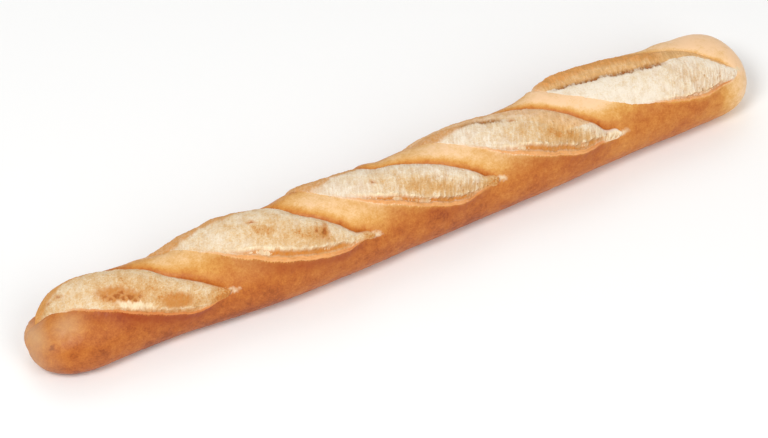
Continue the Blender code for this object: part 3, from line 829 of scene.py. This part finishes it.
def crust_relief(x, girth):
    """Height of the crust, and the shares that colour it."""
    made = SimpleNamespace(inside=np.zeros(x.shape, bool))
    for name in ("height", "under_lip", "red_shade_below_lip", "at_crease", "lip_edge", "feather", "bare"):
        setattr(made, name, np.zeros(x.shape))
    for slash in SLASHES:
        at = slash_at(x, girth, slash)
        nearest = np.minimum(at.past_lip, at.before_crease)
        added = np.where(at.inside, at.crumb - SUNK * at.filled * smooth(0.0, DIVE, nearest), at.crust)
        made.height = np.where(made.inside, made.height, made.height + added)
        below = at.past_lip <= 0.0
        # Painted shade darkens the crust below each lip, as a brown share and a red one.
        made.under_lip += below * at.lip_shade * fall_off(-at.past_lip, SHADE_REACH)
        made.red_shade_below_lip += slash["red_shade_below_lip"] * below * at.lip_share * fall_off(-at.past_lip, SHADE_REACH, 2.0)
        # A painted highlight lightens the thin edge of each lip.
        made.lip_edge += (at.past_lip <= COLOUR_INSIDE) * at.lip_shade * fall_off(-at.past_lip, EDGE_REACH)
        # Behind each crease the strap is toasted and darkened with painted shade.
        creased = (at.before_crease <= COLOUR_INSIDE) * at.crease_share * (np.abs(at.reach) < 1.0)
        creased = creased * fall_off(-at.before_crease, TOAST_AND_SHADE_REACH, 1.6)
        made.at_crease += creased * min(1.0, slash["crease"] / 2.5)
        made.feather = np.maximum(made.feather, at.feather)
        made.bare = np.maximum(made.bare, at.inside * (1.0 - at.filled))
        made.inside |= at.inside
    for name in ("under_lip", "red_shade_below_lip", "at_crease", "lip_edge"):
        setattr(made, name, np.clip(getattr(made, name), 0.0, 1.0))
    return made


# %% [markdown]
# The brown share follows the heat, and in part the light. The straps over the crest stay pale, partly as
# painted light from above, more so towards the right end, and the colour deepens down both sides. The edge
# of a strap that turns down into its crease is toasted and darkened with painted shade. The left end has a
# floury band and a pale spot that is a painted highlight, with two burst blisters below it.

# %% How brown and how floury the crust is
CREST_BROWN = 0.73  # at the left end, and its soft steps along X: from, to, and change
CREST_STEPS = ((-240.0, -170.0, -0.29), (-120.0, -50.0, -0.30), (60.0, 160.0, -0.06))
SIDE_BROWN = 0.84
SIDE_STEPS = ((-150.0, -90.0, -0.04), (0.0, 200.0, -0.10))
CREASE_TOAST_AND_SHADE = 0.78
POLE_BROWN = 0.72
POLE_DUST = 0.65
HIGHLIGHT_SPOT = (-257.0, -10.0, 11.0)  # the painted highlight spot on the left end: place along X, round the section, and reach
PITS = ((-270.4, -23.6, 1.0), (-269.2, -20.8, 1.1))


def stepped(x, share, steps):
    """A share at the left end, changed by soft steps along the loaf."""
    for start, end, change in steps:
        share = share + change * smooth(start, end, x)
    return share


def brown_light_and_shade(x, girth, made):
    """How brown the crust looks, from 0 to 1, with painted light and shade worked into it."""
    # 0 on the crest and 1 down both sides; the paler crest is partly painted light from above. At the front
    # the brown reaches a little higher on the right.
    side = smooth(-11.0, -38.0, girth - 8.0 * smooth(110.0, 180.0, x) + 3.0 * bell(x, 30.0, 60.0))
    side = np.maximum(side, smooth(8.0, 38.0, girth))
    crest = stepped(x, CREST_BROWN, CREST_STEPS)
    low = stepped(x, SIDE_BROWN, SIDE_STEPS) + 0.06 * smooth(-45.0, -62.0, girth)
    share = crest + (low - crest) * side

    # Paler over the crest on the right and near the left end, and all round towards the right end.
    pale = 0.30 * smooth(85.0, 115.0, x) + 0.27 * bell(x, -160.0, 36.0)
    share = share - pale * smooth(-18.0, 4.0, girth) * fade(24.0, 42.0, girth)
    share = share - 0.62 * smooth(231.0, 270.0, x)

    # Toasted and darkened with painted shade at the creases, darkened with painted shade under the lips,
    # paler on a lip's thin edge as a painted highlight, and paler on bared skin.
    share = share + (CREASE_TOAST_AND_SHADE - share) * 0.95 * made.at_crease * (share < CREASE_TOAST_AND_SHADE)
    share = share + 0.24 * made.under_lip * (1.0 - 0.7 * side)
    share = share - (0.16 + 0.16 * smooth(-150.0, -110.0, x)) * made.lip_edge
    share = share - (share - 0.25) * made.bare * smooth(-272.0, -256.0, x) * smooth(-180.0, -200.0, x)
    share = share + (POLE_BROWN - share) * smooth(-270.0, -279.0, x)

    # Dark spots where small blisters burst.
    for place, height, reach in PITS:
        share = share + 0.9 * bell(np.hypot(x - place, girth - height), 0.0, reach)
    return np.clip(share, 0.0, 1.0)


def flour_and_highlight_share(x, girth):
    """The tan, floury band round the left end, strongest on its upper side, and a pale spot there that is a
    painted highlight.
    """
    upper = 0.3 + 0.7 * smooth(-35.0, 5.0, girth)
    upper = upper + (POLE_DUST - upper) * smooth(-274.0, -279.5, x)
    band = 0.6 * smooth(-262.0, -277.0, x) * upper
    place, height, reach = HIGHLIGHT_SPOT
    return np.maximum(band, 0.40 * bell(x, place, reach) * bell(girth, height, reach))


# %% [markdown]
# A grid of rows and columns that closes round itself is all that crust and crumb need, so both get their
# four-cornered cells from one function. Each adds its own caps and its own layout on the flat map.

# %% Cells of a closed grid
def grid_cells(rows, columns):
    """The row and column of each cell, and the numbers of its corners, in turn round it."""
    row, column = np.meshgrid(np.arange(rows - 1), np.arange(columns), indexing="ij")
    start = row * columns
    following = (column + 1) % columns
    corners = (start + column, start + columns + column, start + columns + following, start + following)
    return row, column, corners


def wrap_faces(rows, columns, on_edge):
    """Triangles of a grid that closes round a loaf, with a fan at each end, and their flat map."""
    row, column, (a, b, c, d) = grid_cells(rows, columns)
    edge = on_edge.ravel()
    # A cell is cut from a to c, or from b to d where those two lie on an edge.
    along_ac = ~(edge[b] & edge[d]) | (edge[a] & edge[c])
    steps = {"a": (0, 0), "b": (1, 0), "c": (1, 1), "d": (0, 1)}
    numbers = {"a": a, "b": b, "c": c, "d": d}
    # The loaf's left half lies in the lower half of the flat map, and its right half in the upper one.
    half = rows // 2
    right_half = row >= half
    faces = []
    flat = []
    for names in (("abc", "abd"), ("acd", "bcd")):
        corners = []
        places = []
        for yes, no in zip(*names):
            corners.append(np.where(along_ac, numbers[yes], numbers[no]))
            step_row, step_column = (np.where(along_ac, steps[yes][k], steps[no][k]) for k in range(2))
            u = (row + step_row - np.where(right_half, half, 0)) / (half + 1)
            v = (column + step_column) / columns
            places.append(np.stack([0.01 + 0.98 * u, 0.01 + 0.48 * v + 0.5 * right_half], -1))
        faces.append(np.stack(corners, -1).reshape(-1, 3))
        flat.append(np.stack(places, -2).reshape(-1, 3, 2))
    ring = np.arange(columns)
    following = (ring + 1) % columns
    last = (rows - 1) * columns
    pole = np.full(columns, rows * columns)
    faces.append(np.stack([pole, ring, following], -1))
    faces.append(np.stack([pole + 1, last + following, last + ring], -1))
    fan = np.stack([np.full(columns, 0.5), ring / columns, (ring + 1) / columns], -1) * 0.98 + 0.01
    for rim, tip, up in ((0.004, 0.0, 0.0), (0.996, 1.0, 0.5)):
        corners = np.stack([np.full((columns, 3), rim), up + fan * 0.49], -1)
        corners[:, 0, 0] = tip
        flat.append(corners)
    return np.concatenate(faces), np.concatenate(flat)


# %% The crust mesh
CRUST_SINK = 0.08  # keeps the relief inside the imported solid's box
# How strong the painted red shade under the lips is.
RED_SHADE_STRENGTH = 0.72
GROUND = (0.4, 3.0)  # the relief fades out from the second height down to the first
ENDS = (280.0, 274.0)  # and from the second distance to the middle out to the first


def crust_piece():
    """Points and faces of the crust, their flat map, what colours them, and which points lie on an edge."""
    columns = crust_columns()
    count = len(columns)
    station = (np.arange(STATIONS) + 0.5) / STATIONS
    x = np.repeat(along_the_loaf(station)[0][:, None], count, axis=1)
    girth, on_edge = snap_to_edges(x, np.repeat(columns[None], STATIONS, axis=0))
    made = crust_relief(x, girth)
    station = np.repeat(station[:, None], count, axis=1)
    points = lift_off(station, turn_at(girth), made.height - CRUST_SINK)
    ends = lift_off(np.array([0.0, 1.0]), np.array([CREST, CREST]), np.zeros(2))
    points = np.concatenate([points.reshape(-1, 3), ends])
    looks = {  # each with its values at the left and the right end
        "brown_light_and_shade": (brown_light_and_shade(x, girth, made), 0.50, 0.20),
        "red_shade_below_lip": (RED_SHADE_STRENGTH * made.red_shade_below_lip, 0.0, 0.0),
        "feather": (made.feather, 0.0, 0.0),
        "flour_and_highlight": (flour_and_highlight_share(x, girth), 0.9, 0.0),
        "shown": (np.where(made.inside & (made.bare < 0.5), 0.0, 1.0), 1.0, 1.0),
    }
    looks = {name: np.append(grid.ravel(), left_right) for name, (grid, *left_right) in looks.items()}
    looks["shown"] = looks["shown"] * smooth(*GROUND, points[:, 2]) * smooth(*ENDS, np.abs(points[:, 0]))
    looks["place"] = points
    faces, flat = wrap_faces(STATIONS, count, on_edge)
    return points, faces, flat, looks, np.append(on_edge.ravel(), [False, False])


points, faces, flat, looks, lip_points = crust_piece()
middle = 0.5 * (points.min(axis=0) + points.max(axis=0))
middle[2] = 0.0
crust = make_mesh("crust", points - middle, faces, flat, looks)
print("crust:", len(faces), "triangles, box", np.round(np.ptp(points, axis=0), 2), "mm")

# %% [markdown]
# A lip is a real edge, so the shading must break there. The edges between two lip points are marked sharp.

# %% Sharp lips, and the crust's own relief
def mark_sharp(mesh, on_line):
    """Marks the edges of a mesh that join two of the given points."""
    ends = np.empty(len(mesh.edges) * 2, np.int32)
    mesh.edges.foreach_get("vertices", ends)
    ends = ends.reshape(-1, 2)
    layer = mesh.attributes.new("sharp_edge", "BOOLEAN", "EDGE")
    layer.data.foreach_set("value", on_line[ends[:, 0]] & on_line[ends[:, 1]])


mark_sharp(crust.data, lip_points)
crust_layers = (
    ("Swell", "lumps", 24.0, 24.0, 0.24, "shown"),
    ("Wrinkle", "lumps", 5.0, 5.0, 0.16, "shown"),
    ("Pit", "pores", 9.0, 9.0, 0.30, "shown"),
)
crust_relief_tree = relief_tree("crust relief", crust_layers)
print("crust relief tree:", len(crust_relief_tree.nodes), "nodes")
apply_tree(crust, crust_relief_tree, {"Material": crust_finish})
print("crust after relief:", len(crust.data.polygons), "faces")

# %% [markdown]
# ## The crumb in each slash
#
# Each slash is filled by its own closed lens of crumb, tucked a little under the lip and the crease. Its
# rows run from the lip to the crease and its columns along the slash, so the grid follows the tear. It is
# meshed about three times finer than the crust, because strands and pores are real relief here.

# %% Sizes of the crumb
CRUMB_COLUMNS = 560  # along the slash
CRUMB_ROWS = 128  # across it
LAST_REACH = 0.99  # the columns end just short of the front tip
TUCK = 0.8  # how far the crumb reaches under the crust
THICKNESS = 2.6
BACK_ROWS = 5  # on the hidden side
APART = 37.0  # puts each crumb in a part of the noise of its own, in millimetres
CRUMB_SINK = 0.20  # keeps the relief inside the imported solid's box
CREASE_FILL = 0.30  # but closes the gap to the crust at the crease
CREASE_FILL_REACH = 1.2
TEAR_DEPTH = 0.55
DEEPER = 0.8  # how much deeper than the crust the crumb lies where it doesn't fill its slash
TUCK_DIVE = 1.8  # how steeply the tucked edges go down
table_station = np.linspace(0.0, 1.0, 20001)
table_x = along_the_loaf(table_station)[0]


def from_slash(reach, across, slash):
    """The place on the unrolled skin of a point given in a slash's own directions."""
    middle_x, middle_girth, run, climb = blade_line(slash)
    along = reach * slash["half_length"]
    return middle_x + along * run - across * climb, middle_girth + along * climb + across * run


# %% [markdown]
# Some places in the crumb are torn open further, and some are stained by the heat. Each is placed by its
# slash, its reach along it and its distance past the lip, and has a length along the slash and a width
# across it. A tear has a depth too, and a stain the colour layer that it adds to and its share there.

# %% Tears and stains in the crumb
TEARS = (
    (0, -0.05, 9.6, 2.2, 1.3, 0.9),
    (0, 0.00, 8.4, 1.6, 1.3, 1.1),
    (0, 0.05, 10.2, 2.9, 2.1, 1.8),
    (0, 0.085, 12.6, 2.5, 1.4, 1.4),
    (0, 0.10, 9.4, 1.9, 1.5, 1.4),
    (0, 0.16, 10.8, 2.8, 2.0, 1.9),
    (0, 0.20, 9.0, 1.6, 1.3, 1.2),
    (0, 0.24, 11.4, 1.4, 1.1, 0.9),
    (0, -0.44, 10.7, 2.0, 1.1, 0.9),
    (0, -0.54, 8.1, 1.5, 1.0, 0.8),
    (1, 0.56, 16.9, 1.7, 2.8, 2.6),
    (1, 0.50, 18.4, 0.9, 1.4, 1.3),
    (1, 0.02, 25.0, 1.6, 0.7, 1.3),
    (2, -0.05, 14.0, 1.3, 0.8, 1.0),
    (3, 0.05, 24.5, 1.6, 0.7, 1.1),
)
STAINS = (
    (0, 0.07, 11.0, 18.0, 6.4, "torn", 0.9),
    (0, 0.21, 5.6, 15.0, 2.7, "ridge", 0.85),
    (0, 0.55, 10.0, 12.0, 6.8, "torn", 0.95),
    (1, 0.10, 20.0, 9.0, 4.0, "toast", 0.25),
    (1, 0.46, 17.5, 12.0, 4.5, "toast", 0.18),
    (2, 0.38, 12.5, 20.0, 5.5, "toast", 0.20),
    (3, 0.45, 16.0, 16.0, 5.0, "toast", 0.20),
    (3, 0.91, 3.0, 8.0, 4.5, "ridge", 0.85),
)
print(len(TEARS), "tears and", len(STAINS), "stains")


# %% Tears and stains as functions
def tear_open(number, at, height):
    """Digs the tears of a slash, as lobed bowls. Gives the height, how torn the crumb is, and the painted
    shade in its tears and its crevice.
    """
    torn = np.zeros(height.shape)
    painted_deep_shade = 0.8 * smooth(0.62, 0.95, at.crevice)
    for home, reach, past_lip, length, width, depth in TEARS:
        if home == number:
            long = (at.along - reach * SLASHES[number]["half_length"]) / length
            wide = (at.past_lip - past_lip) / width
            lobes = np.sin(3.0 * np.arctan2(wide, long) + 5.0 * depth)
            far = np.hypot(long, wide) * (1.0 + 0.22 * lobes)
            height = height - TEAR_DEPTH * depth * fade(0.1, 1.0, far)
            torn = np.maximum(torn, fade(0.6, 3.2, far) * min(1.0, depth / 2.0))
            painted_deep_shade = np.maximum(painted_deep_shade, fade(0.45, 1.0, far) * min(1.0, depth / 1.6))
    return height, torn, painted_deep_shade


def stain(number, at, layers):
    """Adds the stains of a slash to their colour layers."""
    for home, reach, past_lip, length, width, layer, share in STAINS:
        if home == number:
            long = (at.along - reach * SLASHES[number]["half_length"]) / length
            wide = (at.past_lip - past_lip + 0.9 * wander(at.along, 7.0, length)) / width
            layers[layer] = np.maximum(layers[layer], share * fade(0.55, 1.15, np.hypot(long, wide)))


# %% [markdown]
# The shape of a slash also says where its crumb is strung, porous or frayed, and where it is toasted, so
# these shares are worked out here, with the height, and stored on the mesh.

# %% The crumb's height and shares
def crumb_relief(number, at, girth):
    """Height of the crumb, and the shares that shape and colour it."""
    slash = SLASHES[number]
    p = at.past_lip
    q = at.before_crease
    height = at.crumb - CRUMB_SINK + CREASE_FILL * fall_off(q, CREASE_FILL_REACH)
    height, torn, painted_deep_shade = tear_open(number, at, height)
    height = height - (SUNK + DEEPER) * (1.0 - at.filled)

    # A dark seam of painted shade may follow the lip, standing in for a shaded groove.
    painted_groove_shade = smooth(-0.05, 0.20, at.reach) * fade(0.66, 0.80, at.reach)
    painted_groove_shade = painted_groove_shade * bell(p, 2.3 + 0.4 * wander(at.along, 12.0, 2.0), 0.75)
    painted_groove_shade = painted_groove_shade * (0.55 + 0.45 * wander(at.along, 6.0, 1.0))
    painted_deep_shade = np.maximum(painted_deep_shade, slash["painted_groove_shade"] * np.clip(painted_groove_shade, 0.0, 1.0))

    stained = {"torn": torn, "ridge": np.clip(1.7 * at.ridge, 0.0, 1.0), "toast": np.zeros(p.shape)}
    stain(number, at, stained)

    # The heat toasts the middle of the swelling and the tip, and the skin over the back turns gold.
    share = np.clip(p / np.maximum(p + q, 1e-6), 0.0, 1.0)
    front = smooth(-0.35, 0.35, at.reach) * (1.0 - 0.7 * smooth(0.62, 0.85, at.reach))
    toast = slash["tone"] + slash["toast"] * front * bell(share, 0.40, 0.26)
    toast = toast + stained["toast"] + slash["tip_toast"] * smooth(0.78, 0.95, at.reach)
    toast = toast + 0.08 * fade(-0.62, -0.25, at.reach) * (slash["starts"] > -0.9)
    gold_all, gold_early, until = slash["gold"]
    early = smooth(gold_early, gold_early + 6.0, girth) * fade(until - 0.15, until + 0.15, at.reach)
    gold_all = gold_all + 1.6 * wander(at.along, 23.0, 2.0)
    gold = np.maximum(smooth(gold_all, gold_all + 4.5, girth), early)
    top = fade(11.0, 17.0, q + 1.5 * wander(at.along, 11.0, 1.0))

    # Relief needs free crumb: it fades out at both edges, at the tips, and where the crumb is smoother.
    free = smooth(-0.2, 1.2, p) * smooth(0.2, 2.4, q) * smooth(0.0, 0.05, at.closing) * at.filled
    smoother = slash["plain"] * fade(0.15, 0.5, at.reach) * (1.0 - at.wall)
    porous = free * (0.30 + 0.70 * smooth(0.0, 0.7, at.reach) + 0.5 * torn)
    stretched = 0.40 + 0.75 * smooth(-0.1, 0.6, at.reach) * smooth(0.80, 0.40, share)
    strung = free * (1.0 - 0.75 * at.rim) * (1.0 - 0.85 * smoother)
    return height, {
        "free": free * (1.0 - 0.5 * smoother),
        "porous": porous * (1.0 - at.rim) * (1.0 - smoother),
        "strung": strung * np.maximum(slash["strands"] * stretched, 0.7 * at.wall),
        "frayed": free * np.clip(at.rim + at.ridge, 0.0, 1.0),
        "toast": toast,
        # Painted shade in the tears, the crevice and the seam.
        "torn": stained["torn"],
        "painted_deep_shade": painted_deep_shade,
        "rim": np.clip((1.0 + slash["plain"]) * at.rim, 0.0, 1.0),
        # The first slash's rim is toasted; near every front tip the rim gets painted shade.
        "rim_toast_and_tip_shade": at.rim * np.maximum(slash["rim_toast"], 0.6 * smooth(0.62, 0.80, at.reach)),
        "ridge": stained["ridge"],
        "groove": np.clip(1.1 * at.groove, 0.0, 1.0),
        # Painted shade where the crumb tucks into its crease.
        "crease": at.crease_share * fall_off(q, 0.8),
        "wall": at.wall,
        "wall_top": at.wall * top * 0.85,
        "wall_end": at.wall * smooth(0.16, 0.38, at.reach),
        "back_gold": 0.9 * gold * (1.0 - at.wall),
        # Painted shade in the crevice.
        "crevice": np.clip(1.7 * at.crevice, 0.0, 1.0),
    }


# %% The crumb meshes
def crumb_piece(number):
    """Points of the crumb in one slash, loop after loop, and the looks to store on them."""
    slash = SLASHES[number]
    span = np.linspace(math.asin(slash["starts"]), math.asin(LAST_REACH), CRUMB_COLUMNS)
    reach = np.sin(span)[:, None]
    lip_line, crease_line = edge_lines(reach, slash)
    front_share = np.linspace(0.0, 1.0, CRUMB_ROWS)[None]
    back_share = np.linspace(1.0, 0.0, BACK_ROWS + 2)[None, 1:-1]
    share = np.concatenate([front_share, back_share], axis=1)
    across = lip_line - TUCK + share * (crease_line - lip_line + 2.0 * TUCK)
    x, girth = from_slash(reach + 0.0 * across, across, slash)
    at = slash_at(x, girth, slash)
    height, looks = crumb_relief(number, at, girth)
    hidden = np.minimum(at.past_lip, at.before_crease)
    height = height + np.where(hidden < 0.0, TUCK_DIVE * hidden, 0.0)
    height[:, CRUMB_ROWS:] -= THICKNESS * np.sin(math.pi * back_share) ** 0.5
    points = lift_off(np.interp(x, table_x, table_station), turn_at(girth), height)
    looks["place"] = np.stack([at.along, at.past_lip, 0.0 * at.along + APART * (number + 1)], -1)
    return points.reshape(-1, 3), looks


def loop_faces(columns, around):
    """Triangles of a closed sleeve: loops of points one after the other, with a fan in each end."""
    column, step, (a, b, c, d) = grid_cells(columns, around)
    # The sleeve takes the middle of the flat map, and its two ends take a strip at each side.
    u = np.stack([column, column + 1, column + 1, column], -1) / (columns - 1) * 0.96 + 0.02
    v = np.stack([step, step, step + 1, step + 1], -1) / around * 0.96 + 0.02
    corners = np.stack([a, b, c, d], -1).reshape(-1, 4)
    places = np.stack([u, v], -1).reshape(-1, 4, 2)
    ring = np.arange(1, around - 1)
    start = np.stack([0 * ring, ring, ring + 1], -1)
    end = start[:, [0, 2, 1]] + (columns - 1) * around
    cap = start / around
    cap_start = np.stack([0.01 * (cap > 0), cap], -1)
    cap_end = np.stack([1.0 - 0.01 * (cap > 0), cap], -1)
    halves = ([0, 1, 2], [0, 2, 3])
    faces = [*(corners[:, half] for half in halves), start, end]
    return np.concatenate(faces), np.concatenate([*(places[:, half] for half in halves), cap_start, cap_end])


# %% The crumb's own relief
crumb_layers = (
    ("Strand", "strands", STRAND[0], STRAND[1], 0.42, "strung"),
    ("Cross strand", "strands", 4.2, 5.0, 0.22, "strung"),
    ("Pore", "pores", 2.1, 2.9, 0.75, "porous"),
    ("Small pore", "pores", 1.15, 1.5, 0.35, "porous"),
    ("Lump", "lumps", 5.5, 7.5, 0.40, "free"),
    ("Grain", "lumps", 1.0, 1.0, 0.22, "free"),
    ("Fray", "lumps", 6.0, 1.0, 0.60, "frayed"),
)
crumb_relief_tree = relief_tree("crumb relief", crumb_layers)
print("crumb relief tree:", len(crumb_relief_tree.nodes), "nodes")

# %% All five crumbs
faces, flat = loop_faces(CRUMB_COLUMNS, CRUMB_ROWS + BACK_ROWS)
crumbs = []
for number in range(len(SLASHES)):
    points, looks = crumb_piece(number)
    piece = make_mesh(f"crumb_{number + 1}", points - middle, faces, flat, looks)
    apply_tree(piece, crumb_relief_tree, {"Material": crumb_finish})
    crumbs.append(piece)
    print(piece.name, len(faces), "triangles")

# %% [markdown]
# ## Floor, light and camera
#
# The loaf lies on a plain pale table. A camera and a lamp are both placed by an azimuth, an elevation and a
# distance. The soft key stands above the left front, where it leaves a broad highlight on the left end. A
# wide fill in front lights the side and the floor before it, and a third lamp lights the back.

# %% The floor
FLOOR_REACH = 8000.0
FLOOR_DROP = -0.3  # just under the loaf, so that the two never share a plane


def floor_piece():
    flat = np.array([(0.0, 0.0), (1.0, 0.0), (1.0, 1.0), (0.0, 1.0)])
    points = np.append((2.0 * flat - 1.0) * FLOOR_REACH, np.full((4, 1), FLOOR_DROP), axis=1)
    piece = make_mesh("floor", points, np.arange(4)[None], flat, {})
    material, tree, shader = new_material("matte paper")
    plug(tree, shader, {"Base Color": colour("#fdfdfc"), "Roughness": 0.95, "Specular IOR Level": 0.1})
    piece.data.materials.append(material)
    return piece


floor = floor_piece()
print("floor:", 2.0 * FLOOR_REACH * MM, "m wide")


# %% The lights
def towards(azimuth, elevation):
    """The direction of a viewer or a lamp. Azimuth 0 is in front of the loaf, and it grows to the right."""
    a, e = math.radians(azimuth), math.radians(elevation)
    return Vector((math.sin(a) * math.cos(e), -math.cos(a) * math.cos(e), math.sin(e)))


AIM = Vector((0.0, 0.0, 0.024))  # metres, as are the distances and sizes below
LAMPS = (  # name, azimuth, elevation, distance, size and watts
    ("soft key above the left front", -62.0, 52.0, 2.4, 0.9, 26.0),
    ("wide fill in front", 12.0, 38.0, 2.4, 1.8, 17.0),
    ("low light behind", 160.0, 52.0, 2.4, 1.6, 8.0),
)
AMBIENT = 0.43
for name, azimuth, elevation, distance, size, watts in LAMPS:
    lamp = bpy.data.lights.new(name, "AREA")
    lamp.shape = "DISK"
    lamp.size = size
    lamp.energy = watts
    holder = bpy.data.objects.new(name, lamp)
    holder.location = AIM + towards(azimuth, elevation) * distance
    holder.rotation_euler = towards(azimuth, elevation).to_track_quat("Z", "Y").to_euler()
    bpy.context.scene.collection.objects.link(holder)
    print("lamp:", name)
world = bpy.data.worlds.new("pale surround")
world.use_nodes = True
surround = world.node_tree.nodes["Background"]
plug(world.node_tree, surround, {"Color": colour("#ffffff"), "Strength": AMBIENT})
bpy.context.scene.world = world
bpy.context.scene.view_settings.view_transform = "Standard"

# %% The camera
CAMERA_AZIMUTH = -30.04
CAMERA_ELEVATION = 45.0
CAMERA_DISTANCE = 2.4
LENS = 163.6
SLIDE_RIGHT = -0.00997  # moves the loaf to its place in the picture
SLIDE_UP = -0.0151


def make_camera():
    back = towards(CAMERA_AZIMUTH, CAMERA_ELEVATION)
    right = Vector((0.0, 0.0, 1.0)).cross(back).normalized()
    up = back.cross(right)
    data = bpy.data.cameras.new("camera")
    data.lens = LENS
    data.sensor_width = 36.0
    data.clip_end = 50.0
    camera = bpy.data.objects.new("camera", data)
    bpy.context.scene.collection.objects.link(camera)
    place = AIM + back * CAMERA_DISTANCE + right * SLIDE_RIGHT + up * SLIDE_UP
    camera.matrix_world = Matrix.Translation(place) @ Matrix((right, up, back)).transposed().to_4x4()
    bpy.context.scene.camera = camera
    return camera


print("camera at", np.round(make_camera().matrix_world.translation, 3), "m")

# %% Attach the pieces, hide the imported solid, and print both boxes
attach(crust, "root")
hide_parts("baguette")
for piece in crumbs:
    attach(piece, "root")
    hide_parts("baguette")
floor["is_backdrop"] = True
visual_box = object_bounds()
for label, (low, high) in (("CAD", cad_box), ("shown", visual_box)):
    print(f"box, {label}:", np.round(np.subtract(high, low) / MM, 2), "mm")
